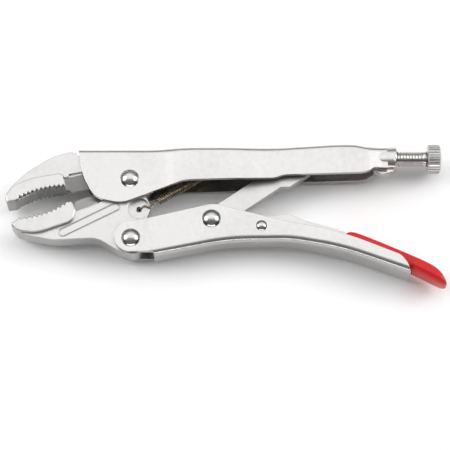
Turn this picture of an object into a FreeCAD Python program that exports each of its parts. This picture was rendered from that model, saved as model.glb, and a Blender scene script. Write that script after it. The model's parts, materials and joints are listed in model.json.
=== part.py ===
import FreeCAD, Part
import math
import os
from FreeCAD import Placement, Rotation, Vector

# Locking pliers lying on their side. While modelling, the jaw pivot is the origin, +X runs from
# the jaws to the adjusting screw, +Y from the lower handle to the upper handle, and z = 0 is the
# plane of symmetry of the sheet-metal channels. The finished parts are then moved together so
# that the origin is the centre of the base of the whole tool.

doc = FreeCAD.newDocument("locking_pliers")

SIZES = {
    # pivots and the screw's axis
    "handle_pivot_x": 0.8,
    "handle_pivot_y": -25.8,
    "link_pivot_x": 33.7,
    "link_pivot_y": -17.5,
    "release_pivot_x": 54.2,
    "release_pivot_y": -20.6,
    "screw_axis_y": 10.8,
    # upper handle
    "channel_front": -21.4,
    "channel_back": 110.5,
    "channel_top": 13.3,
    "channel_rise": 2.5,
    "upper_sheet": 1.8,
    "upper_bend": 2.5,
    "flare_width": 17.6,
    "tail_channel_width": 11.6,
    "socket_radius": 4.7,
    # jaws
    "jaw_thick": 8.0,
    "tooth_block_width": 11.4,
    "tongue_thick": 3.4,
    "knuckle_radius": 8.6,
    "lug_thick": 4.6,
    "lug_radius": 4.5,
    "spring_hole_radius": 1.15,
    "tooth_depth": 1.0,
    "blade_land": 1.6,
    "tooth_count": 11,
    # lower handle
    "lower_sheet": 1.8,
    "lower_bend": 2.5,
    "tail_width": 15.0,
    # toggle link and release lever
    "link_thick": 4.2,
    "link_width": 8.6,
    "link_rise": 0.45,
    "link_hub_radius": 5.2,
    "lever_thick": 7.6,
    "grip_width": 10.6,
    # rivets
    "rivet_radius": 2.75,
    "head_radius": 3.9,
    "head_height": 2.0,
    "small_rivet_radius": 1.5,
    "small_head_radius": 2.3,
    "small_head_height": 1.2,
    # adjusting screw
    "screw_radius": 3.4,
    "thread_pitch": 1.25,
    "thread_depth": 0.7,
    "screw_showing": 10.7,
    "collar_radius": 3.2,
    "collar_length": 1.8,
    "knob_radius": 6.0,
    "knob_length": 5.8,
    "knob_stub_radius": 2.2,
    "knob_grooves": 30,
    # opening spring
    "coil_radius": 1.7,
    "wire_radius": 0.38,
    "coil_pitch": 0.95,
    # clearances
    "side_gap": 0.1,
    "pivot_gap": 0.04,
    "face_gap": 0.3,
}

sheet = doc.addObject("Spreadsheet::Sheet", "Sizes")
for row, (alias, value) in enumerate(SIZES.items(), start=1):
    sheet.set("A%d" % row, alias)
    sheet.set("B%d" % row, str(value))
    sheet.setAlias("B%d" % row, alias)
doc.recompute()


def size(alias):
    """A driving dimension, as the sheet holds it."""
    return float(sheet.get(alias))


# ---------------------------------------------------------------- shared places

A = Vector(0, 0, 0)
B = Vector(size("handle_pivot_x"), size("handle_pivot_y"), 0)
C = Vector(size("link_pivot_x"), size("link_pivot_y"), 0)
RELEASE = Vector(size("release_pivot_x"), size("release_pivot_y"), 0)
JAW_HALF = size("jaw_thick") / 2
INNER_HALF = JAW_HALF + size("side_gap")
FRONT, BACK, TOP = size("channel_front"), size("channel_back"), size("channel_top")
SHEET = size("upper_sheet")
SCREW_Y = size("screw_axis_y")
SCREW_TIP = 76.6
LUG = Vector(3.9, -12.4, 0)
FAR = 60


# ---------------------------------------------------------------- drawing helpers

def rounded(corners):
    """Lines and tangent arcs round a closed outline, from corners (x, y) or (x, y, radius)."""
    points = [Vector(c[0], c[1], 0) for c in corners]
    radii = [c[2] if len(c) > 2 else 0 for c in corners]
    starts, ends, edges = [], [], []
    for i, here in enumerate(points):
        back = (points[i - 1] - here).normalize()
        ahead = (points[(i + 1) % len(points)] - here).normalize()
        half = back.getAngle(ahead) / 2
        reach = radii[i] / math.tan(half)
        starts.append(here + back * reach)
        ends.append(here + ahead * reach)
        if radii[i]:
            inward = (back + ahead).normalize()
            middle = here + inward * (radii[i] / math.sin(half) - radii[i])
            edges.append(Part.Arc(starts[i], middle, ends[i]))
    for i, end in enumerate(ends):
        start = starts[(i + 1) % len(points)]
        if (start - end).Length > 1e-6:
            edges.append(Part.LineSegment(end, start))
    return edges


def mirrored(corners):
    """A closed outline symmetric about y = 0, from its upper side."""
    lower = [(c[0], -c[1]) + tuple(c[2:]) for c in reversed(corners)]
    return list(corners) + lower


def ring(centre, radius):
    """A circle as a sketch element."""
    return [Part.Circle(centre, Vector(0, 0, 1), radius)]


PLANES = {
    "side": Rotation(),
    "plan": Rotation(Vector(1, 0, 0), 90),
    "end": Rotation(Vector(1, 1, 1), 120),
}


def prism(name, elements, depth, view="side", shift=0.0):
    """A sketch in one of three views, extruded both ways to a depth (a number or a formula)."""
    drawing = doc.addObject("Sketcher::SketchObject", name + "_sketch")
    turn = PLANES[view]
    drawing.Placement = Placement(turn.multVec(Vector(0, 0, shift)), turn)
    drawing.addGeometry(elements, False)
    solid = doc.addObject("Part::Extrusion", name)
    solid.Base = drawing
    solid.DirMode = "Normal"
    solid.Solid = True
    solid.Symmetric = True
    if isinstance(depth, str):
        solid.setExpression("LengthFwd", depth)
    else:
        solid.LengthFwd = depth
    return solid


def turned(name, profile, origin, axis, angle=360):
    """A closed profile in the x-y plane revolved about an axis in it."""
    drawing = doc.addObject("Sketcher::SketchObject", name + "_sketch")
    drawing.addGeometry(rounded(profile), False)
    solid = doc.addObject("Part::Revolution", name)
    solid.Source = drawing
    solid.Base = origin
    solid.Axis = axis
    solid.Angle = angle
    solid.Solid = True
    return solid


def joined(name, pieces):
    """One solid from several, which must not lose any of them."""
    solid = doc.addObject("Part::MultiFuse", name)
    solid.Shapes = pieces
    solid.Refine = True
    doc.recompute()
    if solid.Shape.Volume < max(piece.Shape.Volume for piece in pieces):
        raise RuntimeError("%s: a piece was lost" % name)
    return solid


def shared(name, pieces):
    """What several solids have in common."""
    solid = doc.addObject("Part::MultiCommon", name)
    solid.Shapes = pieces
    return solid


def cut(name, base, *tools):
    """A solid less some tools, which must each take something away."""
    for i, tool in enumerate(tools):
        less = doc.addObject("Part::Cut", "%s_cut%d" % (name, i))
        less.Base, less.Tool = base, tool
        doc.recompute()
        if less.Shape.Volume > base.Shape.Volume - 1e-3:
            raise RuntimeError("%s: tool %s cuts nothing" % (name, tool.Label))
        base = less
    return base


def eased(name, base, radius, wanted):
    """Fillets on the edges whose middle point passes a test."""
    doc.recompute()
    picked = []
    for i, edge in enumerate(base.Shape.Edges, start=1):
        middle = edge.valueAt((edge.FirstParameter + edge.LastParameter) / 2)
        if wanted(middle, edge):
            picked.append((i, radius, radius))
    if not picked:
        raise RuntimeError("%s: no edge to fillet" % name)
    soft = doc.addObject("Part::Fillet", name)
    soft.Base = base
    soft.Edges = picked
    doc.recompute()
    if soft.Shape.isNull() or not soft.Shape.isValid():
        raise RuntimeError("%s: fillet failed" % name)
    return soft


def named(node, base):
    """Marks an object as the finished sub-part of that name."""
    base.Label = node
    return base


def hole(name, centre, radius, depth=FAR):
    """A round tool along z."""
    return prism(name, ring(centre, radius), depth)


# ---------------------------------------------------------------- upper handle

FLARE_START, FLARE_END = 10.5, 22.5
FLARE_STOP, NARROW_END = 46.0, 60.0
NECK = BACK - 12.5


def handle_plan(inset, front, back):
    """The channel seen from above: narrow at the jaws, flared, and narrow again."""
    narrow = INNER_HALF + SHEET - inset
    flare = size("flare_width") / 2 - inset
    tail = size("tail_channel_width") / 2 - inset
    neck = size("socket_radius") - 0.3 - inset
    return mirrored([
        (front, narrow), (FLARE_START, narrow, 42), (FLARE_END, flare, 42),
        (FLARE_STOP, flare, 58), (NARROW_END, tail, 58), (NECK, tail, 7),
        (NECK + 6.5, neck, 4), (back, neck),
    ])


def handle_side(inset, front, back, skirt):
    """The channel seen from the side: inset lowers its top, skirt drops its open edge."""
    top = TOP - inset
    rise = size("channel_rise")
    return [
        (front, top), (FLARE_STOP + 2, top, 60), (BACK - 25, top + rise, 60),
        (BACK - 17.5, top + rise, 15), (NECK, top + rise - 1.1, 12), (back, top + rise - 0.8),
        (back, 5.4 - skirt), (BACK - 9.5, 5.4 - skirt), (BACK - 13.0, 2.9 - skirt, 8),
        (63.5, 1.8 - skirt, 10), (60.0, 0.3 - skirt, 9), (47.0, -0.8 - skirt, 60),
        (22.5, -1.5 - skirt, 16), (10.5, -5.4 - skirt, 60),
        (-3.2, -10.7 - skirt, 12), (-14.4, -8.3 - skirt, 9), (front + 1.5, 2.5, 30),
    ]


def upper_handle():
    outer = shared("handle_outer", [
        prism("handle_plan_outer", rounded(handle_plan(0, FRONT, BACK - 4)), FAR, "plan"),
        prism("handle_side_outer", rounded(handle_side(0, FRONT, BACK - 4, 0)), FAR),
    ])
    bend = size("upper_bend")
    on_top = lambda p, e: p.y > TOP - 1 and abs(p.z) > 2 and p.x < BACK - 4.5
    outer = eased("handle_bends", outer, bend, on_top)
    inner = shared("handle_inner", [
        prism("handle_plan_inner", rounded(handle_plan(SHEET, FRONT - 5, BACK - 4)), FAR, "plan"),
        prism("handle_side_inner", rounded([
            (FRONT - 5, TOP - SHEET), (FLARE_STOP + 2, TOP - SHEET, 60),
            (BACK - 25, TOP - SHEET + size("channel_rise"), 60),
            (BACK - 14, TOP - SHEET + size("channel_rise")),
            (BACK - 9, TOP - SHEET + 0.6), (BACK - 9, -30), (FRONT - 5, -30)]), FAR),
    ])
    inner = eased("handle_inner_bends", inner, bend - SHEET,
                  lambda p, e: p.y > TOP - SHEET - 1 and abs(p.z) > 1.5 and p.x < BACK - 9.5)
    channel = cut("channel", outer, inner)
    radius = size("socket_radius")
    barrel = turned("socket_barrel", [
        (BACK - 11, SCREW_Y), (BACK - 11, SCREW_Y + radius - 1.2, 1.0), (BACK - 9, SCREW_Y + radius - 0.3, 3),
        (BACK, SCREW_Y + radius + 0.3, 0.6), (BACK, SCREW_Y)],
        Vector(0, SCREW_Y, 0), Vector(1, 0, 0))
    bulge_y = SCREW_Y - 0.9
    bulge = turned("socket_bulge", [
        (BACK - 9.6, bulge_y), (BACK - 9.6, bulge_y + radius + 0.1, 1.0),
        (BACK - 0.4, bulge_y + radius + 0.1, 0.8), (BACK - 0.4, bulge_y)],
        Vector(0, bulge_y, 0), Vector(1, 0, 0))
    lips = prism("socket_lips", rounded([
        (BACK - 11.5, 7.5), (BACK - 9.6, 4.6, 1.5), (BACK - 6.2, 2.9, 2.5), (BACK - 2.2, 3.9, 2.5),
        (BACK - 0.4, 6.2, 1.2), (BACK - 0.4, 7.5)]), 2 * SHEET)
    lips = eased("socket_lips_soft", lips, 0.7, lambda p, e: abs(p.z) > 1 and p.y < 7)
    tab = prism("spring_tab", rounded([
        (36.0, TOP - SHEET + 0.5), (36.0, 9.0), (34.2, 5.2, 0.6), (35.6, 4.4, 0.4),
        (37.6, 8.8), (37.6, TOP - SHEET + 0.5)]), 4.0)
    tab = cut("spring_tab_eye", tab,
              prism("spring_tab_hole", ring(Vector(9.6, 0, 0), 1.0), FAR, "end", 36.5))
    socket = joined("handle_socket", [barrel, bulge, lips])
    body = joined("handle_body", [joined("handle_and_socket", [channel, socket]), tab])
    bore = prism("socket_bore", ring(Vector(SCREW_Y, 0, 0), size("screw_radius") + size("pivot_gap")),
                 2 * (BACK - SCREW_TIP + 4.0), "end", BACK)
    pivot = hole("handle_jaw_hole", A, size("rivet_radius"))
    return named("upper_handle", cut("upper_handle", body, bore, pivot))


# ---------------------------------------------------------------- jaws

def teeth(start, middle, end, depth, count):
    """A row of rounded teeth along the arc through three points, as outline corners."""
    arc = Part.Arc(Vector(*start, 0), Vector(*middle, 0), Vector(*end, 0)).toShape()
    centre = arc.Curve.Center
    places = arc.discretize(2 * count + 1)
    corners = []
    for i, place in enumerate(places):
        inward = (centre - place).normalize() * (depth if i % 2 else 0)
        corners.append((place.x + inward.x, place.y + inward.y, 0.18))
    return corners


def upper_jaw():
    half_seat = size("knuckle_radius") + size("face_gap")
    ceiling = TOP - size("upper_bend")
    body = prism("upper_jaw_body", rounded([
        (-50.4, -10.3, 0.3), (-51.4, -6.9, 3), (-48.4, -2.6, 6), (-42.8, 3.2, 20), (-32.8, 10.1, 25),
        (-25.3, 12.4, 7), (FRONT - 0.8, 11.9, 0.5), (FRONT - 0.5, ceiling), (7.5, ceiling, 1.0),
        (7.5, 4.0), (0.0, -1.0), (-9.0, -0.7), (-23.9, -4.4, 0.4), (-25.6, -3.2, 1),
        (-36.0, -4.2, 14), (-46.0, -9.2, 0.4)]), "Sizes.jaw_thick")
    block_width = size("tooth_block_width")
    block = prism("upper_tooth_block", rounded([
        (-50.2, -10.3, 0.3), (-51.1, -7.4, 2.5), (-47.9, -2.9, 6), (-40.5, 0.4, 20),
        (-28.3, 2.6, 2.5), (-25.4, -1.2, 3), (-25.5, -3.6, 0.3)]
        + teeth((-26.3, -3.6), (-35.6, -4.9), (-45.6, -8.9), -size("tooth_depth"),
                int(size("tooth_count")))
        + [(-46.9, -9.7, 0.3)]), block_width)
    block = eased("upper_block_soft", block, 0.5,
                  lambda p, e: abs(p.z) > block_width / 2 - 0.01 and p.y > -2.9)
    solid = joined("upper_jaw_forging", [body, block])
    tongue_half = size("tongue_thick") / 2
    for side in (1, -1):
        label = "near" if side > 0 else "far"
        seat = prism("upper_seat_" + label, ring(A, half_seat), FAR, "side", side * (tongue_half + FAR / 2))
        shoulder = prism("upper_shoulder_" + label, rounded([
            (-25.3, 2.6), (-8.0, 5.6), (-8.0, -8), (-25.3, -8)]), 2.0, "side", side * JAW_HALF)
        edge = edge_bevel("upper_edge_" + label, (-26, -4.92), (-9.0, -0.7), side, 6.0, JAW_HALF - 1)
        solid = cut("upper_jaw_" + label, solid, seat, shoulder, edge)
    tongue = prism("upper_tongue", ring(A, size("knuckle_radius")), "Sizes.tongue_thick")
    solid = joined("upper_jaw_tongued", [solid, tongue])
    rivet_hole = hole("upper_jaw_hole", A, size("rivet_radius"))
    return named("upper_jaw", cut("upper_jaw", solid, rivet_hole))


def edge_bevel(name, start, end, side, rise, half):
    """A wedge that slopes one side of a blade down to half its edge's land, from start to end."""
    first, last = Vector(*start, 0), Vector(*end, 0)
    along = (last - first).normalize()
    up = Vector(-along.y, along.x, 0) * rise
    out = Vector(0, 0, side)
    land = size("blade_land") / 2
    wedge = Part.Face(Part.makePolygon([
        first + out * land, first + up + out * half, first + up + out * (half + 4),
        first - up + out * (half + 4), first - up + out * land, first + out * land]))
    tool = doc.addObject("Part::Feature", name)
    tool.Shape = wedge.extrude(last - first)
    return tool


def lower_jaw():
    radius = size("knuckle_radius")
    body = prism("lower_jaw_body", rounded([
        (-48.5, -19.4, 0.3), (-46.8, -21.3, 3), (-42.6, -23.9, 8), (-31.0, -26.2, 20), (-13.2, -25.2, 10),
        (-5.0, -30.4, 9), (3.2, -33.0, 4), (7.9, -27.0, 5), (7.2, -16.5, 2), (8.7, -11.0, 4), (4.2, -3.0),
        (-6.0, -3.0), (-8.5, -3.0), (-22.4, -8.2, 0.4), (-23.6, -12.5, 1), (-34.0, -17.0, 14),
        (-46.6, -19.0, 0.4)]), "Sizes.jaw_thick")
    block_width = size("tooth_block_width")
    block = prism("lower_tooth_block", rounded([
        (-48.3, -19.3, 0.3), (-45.6, -22.6, 4), (-38.0, -23.7, 14), (-22.9, -18.4, 4.5),
        (-21.8, -12.6, 3), (-24.0, -9.6, 0.3)]
        + teeth((-24.6, -10.2), (-33.6, -15.2), (-45.9, -17.9), size("tooth_depth"),
                int(size("tooth_count")))
        + [(-47.0, -18.8, 0.3)]), block_width)
    block = eased("lower_block_soft", block, 0.5,
                  lambda p, e: abs(p.z) > block_width / 2 - 0.01 and p.y < -18.9)
    knuckle = prism("lower_knuckle", ring(A, radius), "Sizes.jaw_thick")
    solid = joined("lower_jaw_forging", [body, block, knuckle])
    swept = size("tongue_thick") + 2 * size("side_gap")
    slot = prism("lower_fork_slot", ring(A, radius + size("face_gap") + 0.4), swept)
    solid = cut("lower_jaw_slotted", solid, slot, capsule_groove())
    for side in (1, -1):
        face = "near" if side > 0 else "far"
        half_lug = size("lug_thick") / 2
        spot = prism("lug_face_" + face, ring(LUG, size("lug_radius")), 4.0, "side", side * (half_lug + 2))
        shoulder = prism("lower_shoulder_" + face, rounded([
            (-23.6, -6.0), (-22.2, -13.9), (-12.6, -10.4, 1.2), (-10.8, -6.3), (-11.6, -2.0)]),
            2.0, "side", side * JAW_HALF)
        edge = edge_bevel("lower_edge_" + face, (-8.5, -3.0), (-24.0, -8.76), side, 5.0, JAW_HALF - 1)
        solid = cut("lower_jaw_" + face, solid, spot, shoulder, edge)
    solid = cut("lower_jaw_bored", solid,
                hole("lower_jaw_pivot_hole", A, size("rivet_radius") + size("pivot_gap")),
                hole("lower_jaw_handle_hole", B, size("rivet_radius") + size("pivot_gap")),
                hole("lower_jaw_spring_hole", LUG, size("spring_hole_radius")))
    return named("lower_jaw", solid)


def capsule_groove():
    """The frame line round the plain label panel, cut into the near face."""
    start, end = Vector(-27.0, -23.0, 0), Vector(-5.6, -11.9, 0)
    along = (end - start).normalize()
    across = Vector(-along.y, along.x, 0)

    def capsule(half):
        corners = [start - along * half - across * half, end + along * half - across * half,
                   end + along * half + across * half, start - along * half + across * half]
        return rounded([(c.x, c.y, half * 0.99) for c in corners])

    return prism("label_frame", capsule(1.85) + capsule(1.4), 0.5, "side", JAW_HALF)


# ---------------------------------------------------------------- lower handle

def lower_plan(inset, front, back):
    """The lower channel seen from above: narrow at the jaw, wider at the tail."""
    narrow = INNER_HALF + size("lower_sheet") - inset
    tail = size("tail_width") / 2 - inset
    return mirrored([(front, narrow), (59.0, narrow, 40), (80.0, tail, 60), (back, tail)])


def web_line(inset):
    """The line of the lower handle's web, moved up by inset and run on past both its ends."""
    return [(-12.0, -37.4 + inset), (41.0, -27.0 + inset, 90), (66.0, -26.8 + inset, 60),
            (88.0, -31.3 + inset, 110), (126.0, -45.3 + inset)]


def lower_trough(name, inset, bend):
    """A bent trough along the web's line, open at the top: the channel's outside or inside."""
    trough = shared(name, [
        prism(name + "_plan", rounded(lower_plan(inset, -12, 126)), 140, "plan"),
        prism(name + "_side", rounded(web_line(inset) + [(126.0, 0), (-12.0, 0)]), FAR),
    ])
    return eased(name + "_bends", trough, bend, lambda p, e: on_web(p, inset) and abs(p.z) > 2)


def on_web(point, inset):
    """Whether a point is near the line of the web."""
    line = [Vector(c[0], c[1], 0) for c in web_line(inset)]
    for start, end in zip(line, line[1:]):
        if start.x <= point.x <= end.x:
            along = (point.x - start.x) / (end.x - start.x)
            return abs(point.y - (start + (end - start) * along).y) < 1.6
    return False


def lower_handle():
    wall, bend = size("lower_sheet"), size("lower_bend")
    cheek_bottom = B.y - 5.9
    cheek = prism("lower_cheek", rounded([
        (B.x - 6.6, cheek_bottom, 6.2), (10.2, cheek_bottom, 0.4), (11.0, -36.0), (60.0, -36.0),
        (111.6, -45.2), (114.8, -41.6, 2.2), (113.4, -37.0, 8), (110.6, -33.6, 3),
        (88.0, -24.3, 120), (62.0, -18.2, 60), (34.6, -10.9, 12), (4.5, -18.1, 7),
        (B.x - 6.6, -18.9, 6.2)]), FAR)
    outer = shared("lower_outer", [lower_trough("lower_outside", 0, bend), cheek])
    inner = lower_trough("lower_inside", wall, bend - wall)
    mouth = prism("lower_mouth", rounded([
        (-12.0, -40.0), (10.0, -40.0), (10.0, 0), (-12.0, 0)]), 2 * INNER_HALF)
    solid = cut("lower_handle", outer, inner, mouth,
                hole("lower_handle_jaw_hole", B, size("rivet_radius")),
                hole("lower_handle_link_hole", C, size("rivet_radius")),
                hole("lower_handle_release_hole", RELEASE, size("small_rivet_radius")))
    return named("lower_handle", solid)


# ---------------------------------------------------------------- toggle link

LINK_TURN = Rotation(Vector(0, 0, 1), 34.8)
HEAD_START, HEAD_DROP, NOSE = 35.2, 5.9, 51.3


def toggle_link():
    upper = size("link_width") / 2 + size("link_rise")
    lower = upper - size("link_width")
    bar = prism("link_bar", rounded([
        (-4.6, upper, 4.2), (37.5, upper, 12), (NOSE - 1.2, 1.4, 3), (NOSE - 1.6, -3.6, 4),
        (NOSE - 5.2, -HEAD_DROP, 1.2), (HEAD_START, -HEAD_DROP, 0.5), (HEAD_START - 3.0, lower, 0.8),
        (-4.6, lower, 3.6)]), "Sizes.link_thick")
    bar.Placement = Placement(C, LINK_TURN)
    hub = prism("link_hub", ring(C, size("link_hub_radius")), "Sizes.jaw_thick")
    solid = joined("link_solid", [bar, hub])
    return named("toggle_link", cut("toggle_link", solid, hole(
        "link_hole", C, size("rivet_radius") + size("pivot_gap"))))


# ---------------------------------------------------------------- release lever

LEVER = [(43.6, -20.2, 1.0), (46.2, -17.6, 1.0), (54.2, -16.6, 8), (65.6, -14.6, 5), (72.5, -17.9, 14),
         (90.0, -22.9, 40), (110.0, -31.6, 60), (124.4, -38.1, 1.5), (122.4, -41.3, 1.5),
         (109.0, -35.0, 60), (90.0, -26.6, 60), (70.0, -21.8, 30), (58.0, -23.0, 6), (48.0, -22.6, 4)]


def release_lever():
    bar = prism("lever_bar", rounded(LEVER), "Sizes.lever_thick")
    slim = [prism("lever_slim_" + label, rounded([(86, -10), (140, -10), (140, -60), (86, -60)]),
                  10.0, "side", side * (size("lever_thick") / 2 - 1.2 + 5.0))
            for side, label in ((1, "near"), (-1, "far"))]
    return named("release_lever", cut("release_lever", bar, *slim, hole(
        "lever_hole", RELEASE, size("small_rivet_radius") + size("pivot_gap"))))


def release_lever_grip(lever):
    coat = prism("grip_coat", rounded([
        (88.4, -22.4, 1.4), (91.5, -22.0, 4), (110.0, -29.9, 80), (124.6, -36.5, 3),
        (129.9, -43.6, 1.4), (128.8, -45.6, 1.4), (110.0, -36.9, 60), (92.0, -27.9, 20), (88.6, -25.6, 1.8)]),
        "Sizes.grip_width")
    soft = eased("grip_soft", coat, 1.2, lambda p, e: abs(p.z) > 5)
    return named("release_lever_grip", cut("release_lever_grip", soft, lever))


# ---------------------------------------------------------------- rivets

def rivet(node, centre, kind, seat):
    """A domed rivet: shank along z between two heads that sit on the cheeks' faces."""
    radius, head_radius, head_height = size(kind + "rivet_radius"), size(kind + "head_radius"), \
        size(kind + "head_height")
    dome = (head_radius ** 2 + head_height ** 2) / (2 * head_height)
    angle = math.asin(head_radius / dome) / 2
    top = Vector(0, seat + head_height, 0)
    middle = Vector(dome * math.sin(angle), seat + head_height - dome * (1 - math.cos(angle)), 0)
    rim, neck = Vector(head_radius, seat, 0), Vector(radius, seat, 0)

    def flipped(point):
        return Vector(point.x, -point.y, 0)

    drawing = doc.addObject("Sketcher::SketchObject", node + "_sketch")
    drawing.addGeometry([
        Part.Arc(top, middle, rim), Part.LineSegment(rim, neck), Part.LineSegment(neck, flipped(neck)),
        Part.LineSegment(flipped(neck), flipped(rim)), Part.Arc(flipped(rim), flipped(middle), flipped(top)),
        Part.LineSegment(flipped(top), top)], False)
    solid = doc.addObject("Part::Revolution", node)
    solid.Source = drawing
    solid.Axis = Vector(0, 1, 0)
    solid.Angle = 360
    solid.Solid = True
    solid.Placement = Placement(centre, Rotation(Vector(1, 0, 0), 90))
    return named(node, solid)


# ---------------------------------------------------------------- adjusting screw

def adjusting_screw():
    radius, depth, pitch = size("screw_radius"), size("thread_depth"), size("thread_pitch")
    end = BACK + size("screw_showing")
    root = SCREW_Y + radius - depth
    profile = [(SCREW_TIP, SCREW_Y), (SCREW_TIP, SCREW_Y + 1.6), (SCREW_TIP + 1.2, root)]
    x = SCREW_TIP + 1.6
    while x + pitch < end:
        profile += [(x, root), (x + 0.42 * pitch, SCREW_Y + radius), (x + 0.58 * pitch, SCREW_Y + radius)]
        x += pitch
    collar = end + size("collar_length")
    stub = SCREW_Y + size("knob_stub_radius")
    inside = collar + size("knob_length") - 1.5
    profile += [(x, root), (end, root), (end, SCREW_Y + size("collar_radius")),
                (collar, SCREW_Y + size("collar_radius")), (collar, stub), (inside, stub),
                (inside, SCREW_Y)]
    return named("adjusting_screw", turned(
        "adjusting_screw", profile, Vector(0, SCREW_Y, 0), Vector(1, 0, 0)))


def screw_knob():
    start = BACK + size("screw_showing") + size("collar_length")
    end = start + size("knob_length")
    radius = size("knob_radius")
    stub = SCREW_Y + size("knob_stub_radius") + size("pivot_gap")
    blank = turned("knob_blank", [
        (start + 0.1, stub), (start + 0.1, SCREW_Y + radius - 0.7, 0.4),
        (start + 0.8, SCREW_Y + radius, 0.3), (end - 0.8, SCREW_Y + radius, 0.3),
        (end, SCREW_Y + radius - 0.8, 0.4), (end, SCREW_Y), (end - 1.45, SCREW_Y), (end - 1.45, stub)],
        Vector(0, SCREW_Y, 0), Vector(1, 0, 0))
    count = int(size("knob_grooves"))
    cutters = []
    for i in range(count):
        turn = 2 * math.pi * i / count
        centre = Vector(SCREW_Y + radius * math.cos(turn), radius * math.sin(turn), 0)
        cutters.append(prism("knurl_%d" % i, ring(centre, 0.42), 2 * size("knob_length") + 4, "end", end))
    return named("screw_knob", cut("screw_knob", blank, joined("knurls", cutters)))


# ---------------------------------------------------------------- opening spring

SPRING_FRONT = Vector(11.6, -7.9, 0)
SPRING_BACK = Vector(33.4, 5.6, 0)


def opening_spring():
    """The close-wound coils as one ribbed sleeve, with the two end hooks."""
    reach = SPRING_BACK - SPRING_FRONT
    along = reach / reach.Length
    coil, wire = size("coil_radius"), size("wire_radius")
    turns = round(reach.Length / size("coil_pitch"))
    pitch = reach.Length / turns
    ribs = []
    for i in range(turns):
        ribs += [(i * pitch, coil + 0.5 * wire), ((i + 0.5) * pitch, coil + wire)]
    sleeve = turned("spring_coils", [(0, coil - wire)] + ribs + [
        (reach.Length, coil + 0.5 * wire), (reach.Length, coil - wire)], A, Vector(1, 0, 0))
    sleeve.Placement = Placement(SPRING_FRONT, Rotation(Vector(1, 0, 0), along))
    first = sleeve.Placement.multVec(Vector(0.5, 0, -coil))
    last = sleeve.Placement.multVec(Vector(reach.Length - 0.5, 0, coil))
    front_hook = bent_wire("front_hook", [
        first, first - along * 1.6, LUG + Vector(3.6, 1.2, -3.4), LUG + Vector(0.3, 0, -3.3),
        LUG + Vector(-0.2, 0, 0.2), LUG + Vector(0.0, 0.1, 3.1), LUG + Vector(1.8, 1.6, 3.2)], wire)
    back_hook = bent_wire("back_hook", [
        last, last + along * 1.2, Vector(35.4, 9.6, 0.8), Vector(38.4, 9.6, 0), Vector(39.2, 7.8, 0)], wire)
    return named("opening_spring", joined("opening_spring", [sleeve, front_hook, back_hook]))


def bent_wire(name, points, radius):
    """A round wire along straight runs joined by tangent arcs."""
    edges, last = [], points[0]
    for before, here, after in zip(points, points[1:], points[2:]):
        back, ahead = before - here, after - here
        half = back.getAngle(ahead) / 2
        reach = 0.45 * min(back.Length, ahead.Length)
        back, ahead = back.normalize(), ahead.normalize()
        bend = reach * math.tan(half)
        middle = here + (back + ahead).normalize() * (bend / math.sin(half) - bend)
        start, end = here + back * reach, here + ahead * reach
        edges += [Part.LineSegment(last, start).toShape(), Part.Arc(start, middle, end).toShape()]
        last = end
    edges.append(Part.LineSegment(last, points[-1]).toShape())
    circle = Part.Wire(Part.makeCircle(radius, points[0], points[1] - points[0]))
    run = doc.addObject("Part::Feature", name)
    run.Shape = Part.Wire(edges).makePipeShell([circle], True, False)
    return run


# ---------------------------------------------------------------- assembly

def build():
    upper_face = INNER_HALF + SHEET
    lower_face = INNER_HALF + size("lower_sheet")
    lever = release_lever()
    parts = [
        upper_handle(), upper_jaw(), lower_jaw(), lower_handle(), toggle_link(), lever,
        release_lever_grip(lever), adjusting_screw(), screw_knob(), opening_spring(),
        rivet("jaw_pivot_rivet", A, "", upper_face),
        rivet("handle_pivot_rivet", B, "", lower_face),
        rivet("link_rivet", C, "", lower_face),
        rivet("release_lever_rivet", RELEASE, "small_", lower_face),
    ]
    doc.recompute()
    return parts


def check(parts):
    """Stops the build when a feature failed or a part isn't one sound solid."""
    for item in doc.Objects:
        if "Invalid" in item.State or "Error" in item.State:
            raise RuntimeError("%s failed: %s" % (item.Name, item.State))
    for item in parts:
        if item.Shape.isNull() or not item.Shape.isValid() or len(item.Shape.Solids) != 1:
            raise RuntimeError("%s is not one valid solid" % item.Label)


def export(parts):
    """Stands the whole tool on z = 0 and writes each part."""
    box = FreeCAD.BoundBox()
    for item in parts:
        box.add(item.Shape.optimalBoundingBox(False, False))
    shift = Vector(-(box.XMin + box.XMax) / 2, -(box.YMin + box.YMax) / 2, -box.ZMin)
    os.makedirs("parts", exist_ok=True)
    for item in parts:
        item.Placement = Placement(shift, Rotation()).multiply(item.Placement)
        item.Shape.exportStep("parts/%s.step" % item.Label)


finished = build()
check(finished)
export(finished)
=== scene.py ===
import json
import math

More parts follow.
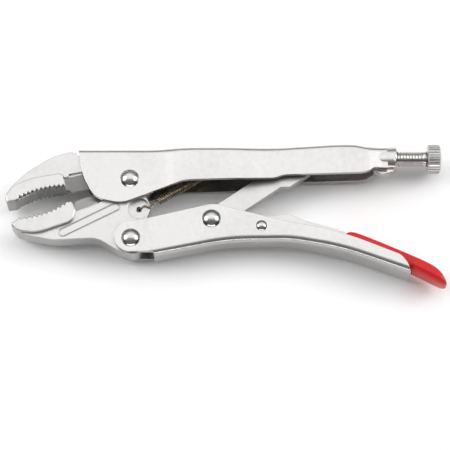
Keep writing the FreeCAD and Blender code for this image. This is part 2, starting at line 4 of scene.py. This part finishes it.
import bmesh
import bpy
from bpy.props import FloatProperty, FloatVectorProperty, IntProperty, PointerProperty
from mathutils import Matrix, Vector


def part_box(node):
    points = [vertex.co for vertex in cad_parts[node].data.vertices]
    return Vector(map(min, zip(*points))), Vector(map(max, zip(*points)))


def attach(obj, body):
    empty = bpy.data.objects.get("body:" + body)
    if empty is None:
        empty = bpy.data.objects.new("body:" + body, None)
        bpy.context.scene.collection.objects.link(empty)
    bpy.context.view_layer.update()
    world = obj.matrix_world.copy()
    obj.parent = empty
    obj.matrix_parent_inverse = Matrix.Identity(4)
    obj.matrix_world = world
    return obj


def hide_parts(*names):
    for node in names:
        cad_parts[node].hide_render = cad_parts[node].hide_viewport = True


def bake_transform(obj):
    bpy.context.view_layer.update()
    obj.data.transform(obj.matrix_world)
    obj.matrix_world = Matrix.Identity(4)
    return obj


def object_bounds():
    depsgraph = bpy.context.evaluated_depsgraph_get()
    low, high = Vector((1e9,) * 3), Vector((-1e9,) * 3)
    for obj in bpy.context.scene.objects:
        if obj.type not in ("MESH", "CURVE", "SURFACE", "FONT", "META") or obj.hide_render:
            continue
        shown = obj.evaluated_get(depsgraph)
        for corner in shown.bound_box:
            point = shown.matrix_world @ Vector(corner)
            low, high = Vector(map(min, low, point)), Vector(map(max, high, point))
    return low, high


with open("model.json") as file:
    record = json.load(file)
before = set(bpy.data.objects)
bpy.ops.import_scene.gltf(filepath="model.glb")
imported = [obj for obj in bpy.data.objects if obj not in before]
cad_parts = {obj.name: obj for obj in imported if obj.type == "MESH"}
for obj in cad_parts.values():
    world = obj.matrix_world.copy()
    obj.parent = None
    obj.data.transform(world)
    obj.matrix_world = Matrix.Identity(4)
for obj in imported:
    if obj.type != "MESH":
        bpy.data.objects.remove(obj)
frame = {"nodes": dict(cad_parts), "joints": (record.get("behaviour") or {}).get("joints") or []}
cad_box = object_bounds()

bl_info = {
    "name": "Locking Pliers",
    "version": (1, 0, 0),
    "blender": (4, 5, 0),
    "location": "View3D > Sidebar > Pliers",
    "description": "Finishes and fine detail for a pair of locking pliers built round a fixed frame",
    "category": "Object",
}

MM = 0.001
JOINTS = {joint["name"]: joint for joint in frame["joints"]}
JAW_PIVOT = Vector(JOINTS["jaw_pivot"]["pos_m"])


def place(x, y, z=0.0):
    """A point given in millimetres from the middle of the jaw pivot."""
    return JAW_PIVOT + Vector((x, y, z)) * MM


# ------------------------------------------------------------------ settings

def colour(name, description, default):
    """A colour that a user can change."""
    return FloatVectorProperty(name=name, description=description, default=default, size=4,
                               min=0, max=1, subtype="COLOR")


def share(name, description, default):
    """A number from 0 to 1 that a user can change."""
    return FloatProperty(name=name, description=description, default=default, min=0, max=1,
                         subtype="FACTOR")


def length(name, description, default):
    """A length in metres that a user can change."""
    return FloatProperty(name=name, description=description, default=default, min=0, precision=5,
                         subtype="DISTANCE", unit="LENGTH")


class PliersFinishes(bpy.types.PropertyGroup):
    """Colours and roughness"""
    nickel: colour("Nickel", "Colour of the plated sheet and forgings", (0.64, 0.63, 0.62, 1))
    # nickel_shade also colours the painted shade on faces that look towards -Y.
    nickel_shade: colour("Nickel shade", "Colour of the duller patches in the plating",
                         (0.46, 0.45, 0.445, 1))
    # Painted shade: this colour darkens the gaps, creases and corners, where shade falls.
    painted_gap_shade_colour: colour("Painted gap shade", "Colour in the gaps and corners", (0.05, 0.05, 0.05, 1))
    tooth: colour("Tooth", "Colour of the bare cut teeth", (0.09, 0.09, 0.09, 1))
    rivet: colour("Rivet", "Colour of the polished rivets", (0.60, 0.60, 0.60, 1))
    # The bright warm wire colour is a painted glint; it is mixed with the darker wire in cloudy
    # patches.
    wire: colour("Spring wire", "Colour of the spring's bright side", (0.90, 0.76, 0.55, 1))
    wire_shade: colour("Spring wire shade", "Colour of the oiled wire", (0.26, 0.21, 0.16, 1))
    dip: colour("Dip", "Colour of the dip-coated grip", (0.60, 0.008, 0.012, 1))
    dip_shade: colour("Dip shade", "Colour where the dip is thick", (0.46, 0.005, 0.008, 1))
    sheet_roughness: share("Sheet roughness", "How matt the plated sheet is", 0.24)
    forged_roughness: share("Forged roughness", "How matt the forgings are", 0.34)
    rivet_roughness: share("Rivet roughness", "How matt the polished rivets are", 0.20)
    screw_roughness: share("Screw roughness", "How matt the turned screw and knob are", 0.20)
    wire_roughness: share("Wire roughness", "How matt the spring's wire is", 0.26)
    dip_roughness: share("Dip roughness", "How matt the dip-coated grip is", 0.20)


class PliersSizes(bpy.types.PropertyGroup):
    """Sizes of the thread and the spring"""
    pitch: length("Thread pitch", "Distance from one thread to the next", 1.25 * MM)
    thread_depth: length("Thread depth", "Height of the thread", 0.7 * MM)
    wire: length("Wire radius", "Radius of the spring's wire", 0.30 * MM)
    coil: length("Coil radius", "Radius of the coils at the middle of the wire", 1.7 * MM)
    coils: IntProperty(name="Coils", description="Turns in the spring", default=27, min=3, max=60)


class PliersStage(bpy.types.PropertyGroup):
    """Lights, surroundings and camera"""
    key: FloatProperty(name="Key light", description="Power of each large light at the sides",
                       default=3.4, min=0, unit="POWER")
    fill: FloatProperty(name="Fill light", description="Power of the low light at the front",
                        default=1.8, min=0, unit="POWER")
    world: FloatProperty(name="Surroundings", description="Brightness of the white surroundings",
                         default=1.38, min=0)
    elevation: FloatProperty(name="Camera elevation",
                             description="Height of the camera as an angle",
                             default=math.radians(70), subtype="ANGLE")
    distance: length("Camera distance", "From the camera to the middle of the tool", 0.89)
    field: length("Field width", "Width of the view at the tool", 0.1851)


# ------------------------------------------------------------------ shader sheets

class Value:
    """A socket's value in an expression, which adds Math nodes as it is worked out."""

    def __init__(self, sheet, socket):
        self.sheet = sheet
        self.socket = socket

    def math(self, operation, *others):
        sockets = {i: other for i, other in enumerate((self,) + others)}
        return self.sheet.node("ShaderNodeMath", {"operation": operation}, sockets)

    def __add__(self, other):
        return self.math("ADD", other)

    def __mul__(self, other):
        return self.math("MULTIPLY", other)

    def __sub__(self, other):
        return self.math("SUBTRACT", other)

    def __lt__(self, other):
        return self.math("LESS_THAN", other)

    def __rsub__(self, other):
        return self.sheet.node("ShaderNodeMath", {"operation": "SUBTRACT"}, {0: other, 1: self})

    __radd__ = __add__
    __rmul__ = __mul__

    def sine(self):
        return self.math("SINE")

    def least(self, other):
        return self.math("MINIMUM", other)

    def most(self, other):
        return self.math("MAXIMUM", other)

    def clipped(self):
        return self.most(0.0).least(1.0)


class Sheet:
    """The node tree of a material or of the world, written as expressions."""

    def __init__(self, owner, shader):
        owner.use_nodes = True
        self.owner = owner
        self.nodes = owner.node_tree.nodes
        self.links = owner.node_tree.links
        self.shader = self.nodes[shader]

    def node(self, kind, settings=None, sockets=None, out=0):
        """Adds a node, with its settings first and then its sockets."""
        made = self.nodes.new(kind)
        for key, value in (settings or {}).items():
            if key == "stops":
                self.stops(made.color_ramp, value)
            else:
                setattr(made, key, value)
        for key, value in (sockets or {}).items():
            self.feed(made.inputs[key], value)
        return Value(self, made.outputs[out])

    @staticmethod
    def stops(ramp, stops):
        """Sets a ramp's stops, each a position and a grey."""
        while len(ramp.elements) < len(stops):
            ramp.elements.new(1.0)
        for element, (position, shade) in zip(ramp.elements, stops):
            element.position = position
            element.color = (shade, shade, shade, 1)

    def feed(self, socket, value):
        """Links or sets one socket."""
        if isinstance(value, Value):
            self.links.new(value.socket, socket)
        else:
            socket.default_value = value

    def set(self, **sockets):
        """Values or links of the shader's own sockets, with _ for a space."""
        for key, value in sockets.items():
            self.feed(self.shader.inputs[key.replace("_", " ")], value)

    def position(self):
        """The place on the object, in metres."""
        return self.node("ShaderNodeTexCoord", out="Object")

    def axes(self, vector):
        """The three numbers of a vector."""
        made = self.nodes.new("ShaderNodeSeparateXYZ")
        self.feed(made.inputs[0], vector)
        return [Value(self, made.outputs[i]) for i in range(3)]

    def facing(self):
        """Which way the surface looks, as three numbers."""
        return self.axes(self.node("ShaderNodeTexCoord", out="Normal"))

    def stretched(self, x, y, z):
        """Object space with each axis scaled."""
        return self.node("ShaderNodeVectorMath", {"operation": "MULTIPLY"},
                         {0: self.position(), 1: (x, y, z)})

    def noise(self, per_mm, detail=3.0, vector=None, seed=0.0):
        """Cloudy noise from 0 to 1, with features of about 1 / per_mm millimetres."""
        return self.node("ShaderNodeTexNoise", {"noise_dimensions": "4D"}, {
            "Vector": vector or self.position(), "W": seed,
            "Scale": per_mm / MM, "Detail": detail})

    def ramp(self, value, *stops):
        """A grey that follows a value through stops of position and shade."""
        return self.node("ShaderNodeValToRGB", {"stops": stops}, {0: value})

    def blend(self, amount, first, second):
        """A mix of two colours."""
        return self.node("ShaderNodeMix", {"data_type": "RGBA"},
                         {0: amount, 6: first, 7: second}, out=2)

    def gaps(self, reach, samples=6):
        """1 deep in a gap or corner, 0 in the open."""
        open_air = self.node("ShaderNodeAmbientOcclusion", {"samples": samples},
                             {"Distance": reach}, out=1)
        return 1 - open_air

    def relief(self, height, depth, edge):
        """Bump of a height map over softly rounded edges."""
        soft = self.node("ShaderNodeBevel", {"samples": 4}, {"Radius": edge})
        return self.node("ShaderNodeBump", {}, {
            "Strength": 1.0, "Distance": depth, "Height": height, "Normal": soft})


# ------------------------------------------------------------------ finishes

def new_material(name):
    """The sheet of a new material."""
    return Sheet(bpy.data.materials.new(name), "Principled BSDF")


def plated(name, settings, roughness, grain, depth, edge=0.22 * MM, painted_gap_shade_strength=0.75, mottle=0.6):
    """Satin nickel plating: cloudy patches, fine lines along the tool, painted shade on the webs and
    other faces that look towards -Y, painted shade in the gaps and corners.
    """
    sheet = new_material(name)
    clouds = sheet.noise(0.05, 3.0)
    patches = sheet.noise(0.45, 4.0, seed=3.0)
    fine = sheet.noise(grain, 3.0, seed=5.0)
    lines = sheet.noise(1.0, 2.0, vector=sheet.stretched(0.12, 2.6, 2.6), seed=7.0)
    dull = ((clouds - 0.45) * 1.2 + (patches - 0.5) * 0.8).clipped()
    # Painted shade: gaps, creases and corners, found by ambient occlusion, are darkened towards the
    # gap shade colour and made rougher too.
    painted_gap_shade = ((sheet.gaps(1.6 * MM) - 0.35) * 1.3).clipped()
    # Painted shade: faces that look towards -Y, the webs and lower edges, are darkened towards
    # nickel_shade to stand in for the shade they get.
    painted_shade_facing_minus_y = ((sheet.facing()[1] + 0.45) * -3.0).clipped()
    shade = sheet.blend((dull * mottle + painted_shade_facing_minus_y * 0.9).clipped(),
                        settings.nickel, settings.nickel_shade)
    sheet.set(
        Base_Color=sheet.blend(painted_gap_shade * painted_gap_shade_strength, shade, settings.painted_gap_shade_colour),
        Metallic=1.0,
        Roughness=roughness + (patches - 0.5) * 0.16 + (lines - 0.5) * 0.10 + painted_gap_shade * 0.25,
        Normal=sheet.relief(fine * 0.7 + lines * 0.3, depth, edge))
    return sheet


TEETH_START = 24.3 * MM
CUT_SPACING = 0.8 * MM


def forged(name, settings, face):
    """Plated forgings, with bare cross-cut teeth on the face that looks along +Y or -Y."""
    sheet = plated(name, settings, settings.forged_roughness,
                   grain=1.1, depth=0.09 * MM, edge=0.45 * MM, mottle=1.0)
    x, _, z = sheet.axes(sheet.position())
    across = sheet.facing()[1] * face
    tooth = ((across - 0.45) * 4.0).clipped() * (x < JAW_PIVOT.x - TEETH_START)
    step = 2 * math.pi / CUT_SPACING
    first = ((x + z) * step).sine()
    second = ((x - z) * step).sine()
    cuts = ((first.most(second) - 0.35) * 2.0).clipped()
    worn = sheet.noise(0.9, 2.0, seed=11.0)
    bare = sheet.blend((cuts * 0.8 + worn * 0.4).clipped(),
                       settings.tooth, settings.nickel_shade)
    plain = sheet.shader.inputs["Base Color"].links[0].from_socket
    sheet.set(Base_Color=sheet.blend(tooth * 0.85, Value(sheet, plain), bare))
    return sheet


def polished(name, settings):
    """Bright rivets with a few fine scuffs."""
    sheet = new_material(name)
    scuff = sheet.noise(0.8, 4.0, seed=2.0)
    fine = sheet.noise(5.0, 2.0, seed=4.0)
    # Painted shade: the gaps round the rivet heads are darkened towards the gap shade colour and
    # made rougher.
    painted_gap_shade = ((sheet.gaps(0.9 * MM) - 0.25) * 1.4).clipped()
    sheet.set(
        Base_Color=sheet.blend(painted_gap_shade * 0.85, settings.rivet, settings.painted_gap_shade_colour),
        Metallic=1.0,
        Roughness=settings.rivet_roughness + (scuff - 0.5) * 0.12 + painted_gap_shade * 0.3,
        Normal=sheet.relief(fine, 0.006 * MM, 0.15 * MM))
    return sheet


def machined(name, settings):
    """Turned, bright zinc-plated steel, with rings left by the tool."""
    sheet = new_material(name)
    rings = sheet.noise(1.0, 2.0, vector=sheet.stretched(5.0, 0.25, 0.25), seed=6.0)
    clouds = sheet.noise(0.5, 3.0, seed=8.0)
    # Painted shade: the gaps and corners of the screw and knob are darkened towards the gap shade
    # colour.
    painted_gap_shade = ((sheet.gaps(0.8 * MM) - 0.3) * 1.2).clipped()
    shade = sheet.blend(((clouds - 0.4) * 1.2).clipped(), settings.nickel, settings.nickel_shade)
    sheet.set(
        Base_Color=sheet.blend(painted_gap_shade * 0.8, shade, settings.painted_gap_shade_colour),
        Metallic=1.0,
        Roughness=settings.screw_roughness + (clouds - 0.5) * 0.12 + (rings - 0.5) * 0.1,
        Normal=sheet.relief(rings, 0.012 * MM, 0.08 * MM))
    return sheet


def oiled_wire(name, settings):
    """Dark spring wire with a painted warm glint in cloudy patches."""
    sheet = new_material(name)
    painted_glint_patches = sheet.noise(0.9, 3.0, seed=9.0)
    # Painted glint: the bright warm wire colour is mixed in over cloudy patches of the darker wire.
    sheet.set(
        Base_Color=sheet.blend(((painted_glint_patches - 0.35) * 2.0).clipped(),
                               settings.wire_shade, settings.wire),
        Metallic=1.0,
        Roughness=settings.wire_roughness + (painted_glint_patches - 0.5) * 0.2,
        Normal=sheet.relief(sheet.noise(6.0, 2.0), 0.004 * MM, 0.05 * MM))
    return sheet


def dipped(name, settings):
    """Thick glossy red dip with a faint orange-peel surface."""
    sheet = new_material(name)
    peel = sheet.noise(0.55, 2.0, seed=1.0)
    cloud = sheet.noise(0.08, 2.0, seed=12.0)
    dust = sheet.noise(3.0, 3.0, seed=13.0)
    thick = ((cloud - 0.35) * 1.6).clipped()
    sheet.set(
        Base_Color=sheet.blend(thick, settings.dip, settings.dip_shade),
        Roughness=settings.dip_roughness + (dust - 0.5) * 0.10,
        Normal=sheet.node("ShaderNodeBump", {}, {
            "Strength": 1.0, "Distance": 0.05 * MM, "Height": peel}),
        Coat_Weight=0.15,
        Coat_Roughness=0.08,
        Specular_IOR_Level=0.3)
    return sheet


def coat(made, sheet):
    """Gives a piece one material in place of all it had."""
    made.data.materials.clear()
    made.data.materials.append(sheet.owner)


def coat_node(node, sheet):
    """Gives a frame node one material, through its object's own slots."""
    made = frame["nodes"][node]
    for slot in made.material_slots:
        slot.link = "OBJECT"
        slot.material = sheet.owner


# ------------------------------------------------------------------ mesh helpers

def piece(name, mesh):
    """A smooth-shaded object for a finished mesh."""
    made = bpy.data.objects.new(name, mesh)
    bpy.context.scene.collection.objects.link(made)
    for face in mesh.polygons:
        face.use_smooth = True
    return made


def lofted(name, rings):
    """A closed mesh skinned over rings of equally many points."""
    mesh = bmesh.new()
    rows = [[mesh.verts.new(point) for point in ring] for ring in rings]
    count = len(rings[0])
    for first, second in zip(rows, rows[1:]):
        for i in range(count):
            j = (i + 1) % count
            mesh.faces.new((first[i], first[j], second[j], second[i]))
    mesh.faces.new(list(reversed(rows[0])))
    mesh.faces.new(rows[-1])
    bmesh.ops.recalc_face_normals(mesh, faces=mesh.faces)
    data = bpy.data.meshes.new(name)
    mesh.to_mesh(data)
    mesh.free()
    return data


def swept(name, points, radius, sides):
    """A round wire whose middle follows a line of points, without twisting."""
    rings = []
    normal = None
    for i, point in enumerate(points):
        before, after = points[max(i - 1, 0)], points[min(i + 1, len(points) - 1)]
        along = (after - before).normalized()
        if normal is None:
            normal = along.orthogonal().normalized()
        normal = (normal - along * normal.dot(along)).normalized()
        side = along.cross(normal)
        rings.append([point + (normal * math.cos(turn) + side * math.sin(turn)) * radius
                      for turn in (2 * math.pi * k / sides for k in range(sides))])
    return lofted(name, rings)


def eased_line(corners, per_span=10):
    """A smooth line through corner points."""
    line = []
    for i in range(len(corners) - 1):
        before = corners[max(i - 1, 0)]
        start, end = corners[i], corners[i + 1]
        after = corners[min(i + 2, len(corners) - 1)]
        for step in range(per_span):
            t = step / per_span
            line.append(0.5 * (2 * start + (end - before) * t
                               + (2 * before - 5 * start + 4 * end - after) * t ** 2
                               + (3 * start - before - 3 * end + after) * t ** 3))
    line.append(corners[-1])
    return line


# ------------------------------------------------------------------ pieces

class PliersHandles(bpy.types.Operator):
    """Finishes the two pressed handles, the link and the release lever"""
    bl_idname = "pliers.handles"
    bl_label = "Handles, link and lever"

    def execute(self, context):
        finishes = context.scene.pliers_finishes
        pressed = plated("plated_sheet", finishes, finishes.sheet_roughness,
                         grain=0.9, depth=0.016 * MM)
        stamped = plated("stamped_steel", finishes, finishes.forged_roughness,
                         grain=1.2, depth=0.02 * MM, painted_gap_shade_strength=0.25)
        for node in ("upper_handle", "lower_handle"):
            coat_node(node, pressed)
        for node in ("toggle_link", "release_lever"):
            coat_node(node, stamped)
        return {"FINISHED"}


class PliersJaws(bpy.types.Operator):
    """Finishes the two forged jaws"""
    bl_idname = "pliers.jaws"
    bl_label = "Jaws"

    def execute(self, context):
        finishes = context.scene.pliers_finishes
        coat_node("upper_jaw", forged("forged_upper", finishes, -1))
        coat_node("lower_jaw", forged("forged_lower", finishes, 1))
        return {"FINISHED"}


class PliersRivets(bpy.types.Operator):
    """Finishes the four domed rivets"""
    bl_idname = "pliers.rivets"
    bl_label = "Rivets"

    def execute(self, context):
        bright = polished("polished_rivet", context.scene.pliers_finishes)
        for node in frame["nodes"]:
            if node.endswith("_rivet"):
                coat_node(node, bright)
        return {"FINISHED"}


class PliersScrew(bpy.types.Operator):
    """Cuts the helical thread of the adjusting screw, and finishes the screw and its knob"""
    bl_idname = "pliers.screw"
    bl_label = "Adjusting screw"

    # along from the screw's tip, and radius, in millimetres
    NOSE = ((0.0, 0.1), (0.02, 1.5), (0.3, 1.8))
    NOSE_END, THREAD_START, ROOT_EASE = 1.0 * MM, 1.3 * MM, 0.1 * MM
    # along from the thread's end, and radius, in millimetres
    COLLAR = ((0.0, 2.95), (0.2, 3.2), (1.6, 3.2), (1.8, 3.0), (1.82, 2.2))
    COLLAR_LENGTH, KNOB_GAP = 1.8 * MM, 0.1 * MM
    SHOULDER, STUB_RADIUS, CENTRE = 0.02 * MM, 2.2 * MM, 0.1 * MM
    STUB_CAP = 0.01 * MM
    # the crest's half width and the flank's run, as shares of the pitch
    CREST, FLANK = 0.42, 0.34
    AROUND, PER_PITCH = 56, 10

    def stations(self, tip, end, thread_end, root, pitch):
        """(x, radius, threaded) along the screw, from its tip to the stub inside the knob."""
        start, step = tip + self.THREAD_START, pitch / self.PER_PITCH
        plain = [(tip + x * MM, radius * MM, False) for x, radius in self.NOSE]
        plain.append((tip + self.NOSE_END, root - self.ROOT_EASE, False))
        count = int((thread_end - start) / step)
        threaded = [(start + i * step, root, True) for i in range(count)]
        collar = [(thread_end - self.SHOULDER, root, False)]
        collar += [(thread_end + x * MM, radius * MM, False) for x, radius in self.COLLAR]
        stub = [(end, self.STUB_RADIUS, False), (end + self.STUB_CAP, self.CENTRE, False)]
        return plain + threaded + collar + stub

    def execute(self, context):
        sizes = context.scene.pliers_sizes
        low, high = (Vector(corner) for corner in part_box("adjusting_screw"))
        middle = (low + high) / 2
        knob_low = Vector(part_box("screw_knob")[0])
        root = (high.y - low.y) / 2 - sizes.thread_depth
        thread_end = knob_low.x - self.KNOB_GAP - self.COLLAR_LENGTH
        start = low.x + self.THREAD_START
        rings = []
        for x, base, threaded in self.stations(low.x, high.x, thread_end, root, sizes.pitch):
            fade = min(1.0, max(0.0, (x - start) / sizes.pitch))
            ring = []
            for k in range(self.AROUND):
                turn = 2 * math.pi * k / self.AROUND
                out = base
                if threaded:
                    phase = ((x - start) / sizes.pitch - k / self.AROUND) % 1.0
                    crest = min(1.0, max(0.0, (self.CREST - abs(phase - 0.5)) / self.FLANK))
                    out = base + sizes.thread_depth * crest * fade
                ring.append(Vector((x, middle.y + out * math.cos(turn),
                                    middle.z + out * math.sin(turn))))
            rings.append(ring)
        screw = piece("threaded_screw", lofted("threaded_screw", rings))
        bright = machined("turned_screw", context.scene.pliers_finishes)
        coat(screw, bright)
        coat_node("screw_knob", bright)
        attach(screw, "screw")
        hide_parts("adjusting_screw")
        return {"FINISHED"}


class PliersSpring(bpy.types.Operator):
    """Winds the opening spring, with a hook at each end"""
    bl_idname = "pliers.spring"
    bl_label = "Opening spring"

    # the coils' two ends and the lug's hole, in millimetres from the jaw pivot
    FRONT, BACK, LUG = (11.6, -7.9), (33.4, 5.6), (3.9, -12.4)
    # the front hook, in millimetres from the lug's hole
    EYE = ((1.5, 1.2, -3.0), (0.2, 0.2, -2.9), (-0.1, -0.1, -1.6), (0.0, -0.1, 0.0),
           (0.2, 0.1, 1.6), (1.0, 0.7, 2.9), (2.4, 1.5, 3.1), (3.9, 0.9, 2.9), (5.4, 1.1, 2.4))
    # the back hook over the handle's tab, in millimetres from the jaw pivot
    TAB = ((35.2, 8.4, 1.2), (35.5, 9.5, 0.6), (37.0, 9.7, 0.0), (38.6, 9.5, 0.0),
           (39.2, 7.8, 0.0))
    # how far the wire runs back, down and aside before the first coil, and on after the last
    LEAD_BACK, LEAD_DOWN, LEAD_SIDE, LEAD_ON = 0.5 * MM, 1.4 * MM, 1.1 * MM, 1.1 * MM
    BEND_START = (5.5, -11.5)
    PER_TURN, WIRE_SIDES = 20, 10

    def execute(self, context):
        sizes = context.scene.pliers_sizes
        front, back, lug = (place(*point) for point in (self.FRONT, self.BACK, self.LUG))
        along = (back - front).normalized()
        side = Vector((0, 0, 1))
        up = side.cross(along)
        reach = (back - front).length
        count = sizes.coils * self.PER_TURN
        coil = []
        for i in range(count + 1):
            turn = 2 * math.pi * i / self.PER_TURN
            coil.append(front + along * (reach * i / count)
                        + (up * math.cos(turn) + side * math.sin(turn)) * sizes.coil)
        eye = [lug + Vector(point) * MM for point in self.EYE]
        lead = coil[0] - along * self.LEAD_BACK - up * self.LEAD_DOWN + side * self.LEAD_SIDE
        front_hook = eased_line(eye + [lead, coil[0]])[:-1]
        tab = [place(*point) for point in self.TAB]
        back_hook = eased_line([coil[-1], coil[-1] + along * self.LEAD_ON] + tab)[1:]
        wire = swept("wound_spring", front_hook + coil + back_hook, sizes.wire, self.WIRE_SIDES)
        spring = piece("wound_spring", wire)
        coat(spring, oiled_wire("spring_wire", context.scene.pliers_finishes))
        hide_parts("opening_spring")
        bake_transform(spring)
        return {"FINISHED"}


class PliersGrip(bpy.types.Operator):
    """Shapes the dip-coated grip on the release lever's tail"""
    bl_idname = "pliers.grip"
    bl_label = "Grip"

    # x, top y, bottom y, half width, in millimetres from the jaw pivot
    STATIONS = [
        (88.5, -23.7, -24.8, 2.6), (88.7, -22.9, -25.5, 3.6), (89.6, -22.35, -26.5, 4.7),
        (91.6, -22.2, -27.5, 5.2), (96.0, -23.8, -29.5, 5.3), (103.0, -26.8, -32.7, 5.3),
        (110.0, -29.9, -36.1, 5.3), (116.5, -32.8, -39.5, 5.3), (121.5, -35.2, -42.1, 5.3),
        (124.6, -37.0, -43.8, 5.3), (126.6, -38.9, -44.8, 5.2), (128.0, -41.0, -45.1, 4.8),
        (128.6, -42.3, -45.1, 4.4), (129.1, -43.6, -45.05, 3.6), (129.4, -44.0, -44.9, 2.6)]
    SIDES = 28
    SQUARENESS = 0.62

    def swing(self, value):
        """A sine or cosine flattened towards a rounded square."""
        return math.copysign(abs(value) ** self.SQUARENESS, value)

    def execute(self, context):
        turns = [2 * math.pi * k / self.SIDES for k in range(self.SIDES)]
        rings = []
        for x, top, bottom, half in self.STATIONS:
            middle, rise = (top + bottom) / 2, (top - bottom) / 2
            rings.append([place(x, middle + rise * self.swing(math.sin(turn)),
                                half * self.swing(math.cos(turn))) for turn in turns])
        grip = piece("dipped_grip", lofted("dipped_grip", rings))
        smooth = grip.modifiers.new("smooth", "SUBSURF")
        smooth.levels = smooth.render_levels = 2
        coat(grip, dipped("red_dip", context.scene.pliers_finishes))
        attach(grip, "release")
        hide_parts("release_lever_grip")
        return {"FINISHED"}


class PliersStageSet(bpy.types.Operator):
    """Adds the pale floor, the soft lights and the camera"""
    bl_idname = "pliers.stage"
    bl_label = "Stage"

    FLOOR_HALF = 3.0
    FLOOR_TONES = (0.95, 0.95, 0.95, 1), (0.97, 0.97, 0.97, 1)
    # what the camera looks at, in millimetres from the middle of the tool
    AIM = (0, -4.1, 0)
    # each light's place from there, and its width and height, in metres
    SIDE_LIGHT, SIDE_LIGHT_SIZE = (0.75, 0.15, 0.55), (0.5, 0.4)
    FRONT_LIGHT, FRONT_LIGHT_SIZE = (0, -0.8, 0.24), (1.1, 0.14)
    # brightness of the surroundings from the horizon up, and from front to back
    SKY_HEIGHT = (0.0, 0.10), (0.25, 0.14), (0.5, 0.6), (0.75, 1.0)
    SKY_DEPTH = (0.28, 0.14), (0.44, 0.30), (0.56, 1.0)
    SENSOR_WIDTH = 36.0

    def floor(self):
        """A pale floor under the tool."""
        grid = bmesh.new()
        bmesh.ops.create_grid(grid, x_segments=1, y_segments=1, size=self.FLOOR_HALF)
        data = bpy.data.meshes.new("floor")
        grid.to_mesh(data)
        grid.free()
        made = piece("floor", data)
        sheet = new_material("pale_floor")
        sheet.set(Base_Color=sheet.blend(sheet.noise(0.05, 2.0), *self.FLOOR_TONES), Roughness=0.9)
        coat(made, sheet)

    def light(self, name, offset, aim, size, power):
        """A rectangular light that looks at a point from an offset."""
        lamp = bpy.data.lights.new(name, "AREA")
        lamp.shape = "RECTANGLE"
        lamp.size, lamp.size_y = size
        lamp.energy = power
        made = bpy.data.objects.new(name, lamp)
        bpy.context.scene.collection.objects.link(made)
        made.location = aim + Vector(offset)
        made.rotation_euler = (aim - made.location).to_track_quat("-Z", "Y").to_euler()

    def surroundings(self, scene, strength):
        """White surroundings, dark low down and on the camera's side."""
        world = bpy.data.worlds.new("surroundings")
        sky = Sheet(world, "Background")
        _, y, z = sky.axes(sky.node("ShaderNodeTexCoord", out="Generated"))
        height = sky.ramp(z, *self.SKY_HEIGHT)
        depth = sky.ramp(y * 0.5 + 0.5, *self.SKY_DEPTH)
        sky.set(Color=height * depth, Strength=strength)
        scene.world = world
        scene.view_settings.view_transform = "Standard"

    def camera(self, scene, stage, aim):
        """A camera in front of the tool and above it."""
        data = bpy.data.cameras.new("camera")
        data.sensor_width = self.SENSOR_WIDTH
        data.lens = data.sensor_width * stage.distance / stage.field
        made = bpy.data.objects.new("camera", data)
        scene.collection.objects.link(made)
        back = Vector((0, -math.cos(stage.elevation), math.sin(stage.elevation)))
        made.location = aim + back * stage.distance
        made.rotation_euler = (-back).to_track_quat("-Z", "Y").to_euler()
        scene.camera = made

    def execute(self, context):
        stage = context.scene.pliers_stage
        low, high = (Vector(corner) for corner in cad_box)
        aim = (low + high) / 2 + Vector(self.AIM) * MM
        self.floor()
        for side, name in ((-1, "left"), (1, "right")):
            x, y, z = self.SIDE_LIGHT
            self.light(name, (x * side, y, z), aim, self.SIDE_LIGHT_SIZE, stage.key)
        self.light("front", self.FRONT_LIGHT, aim, self.FRONT_LIGHT_SIZE, stage.fill)
        self.surroundings(context.scene, stage.world)
        self.camera(context.scene, stage, aim)
        return {"FINISHED"}


# ------------------------------------------------------------------ add-on

STEPS = (PliersStageSet, PliersHandles, PliersJaws, PliersRivets, PliersScrew, PliersSpring,
         PliersGrip)


class PliersPanel(bpy.types.Panel):
    """Lists the pieces of the pliers"""
    bl_idname = "VIEW3D_PT_pliers"
    bl_label = "Locking pliers"
    bl_space_type = "VIEW_3D"
    bl_region_type = "UI"
    bl_category = "Pliers"

    def draw(self, context):
        scene = context.scene
        for group in (scene.pliers_finishes, scene.pliers_sizes, scene.pliers_stage):
            box = self.layout.box()
            for key in group.bl_rna.properties.keys():
                if key not in ("rna_type", "name"):
                    box.prop(group, key)
        for step in STEPS:
            self.layout.operator(step.bl_idname)


CLASSES = (PliersFinishes, PliersSizes, PliersStage) + STEPS + (PliersPanel,)


def register():
    for made in CLASSES:
        bpy.utils.register_class(made)
    bpy.types.Scene.pliers_finishes = PointerProperty(type=PliersFinishes)
    bpy.types.Scene.pliers_sizes = PointerProperty(type=PliersSizes)
    bpy.types.Scene.pliers_stage = PointerProperty(type=PliersStage)


def unregister():
    for key in ("pliers_finishes", "pliers_sizes", "pliers_stage"):
        delattr(bpy.types.Scene, key)
    for made in reversed(CLASSES):
        bpy.utils.unregister_class(made)


def main():
    register()
    for step in STEPS:
        group, name = step.bl_idname.split(".")
        getattr(getattr(bpy.ops, group), name)()


if __name__ == "__main__":
    main()
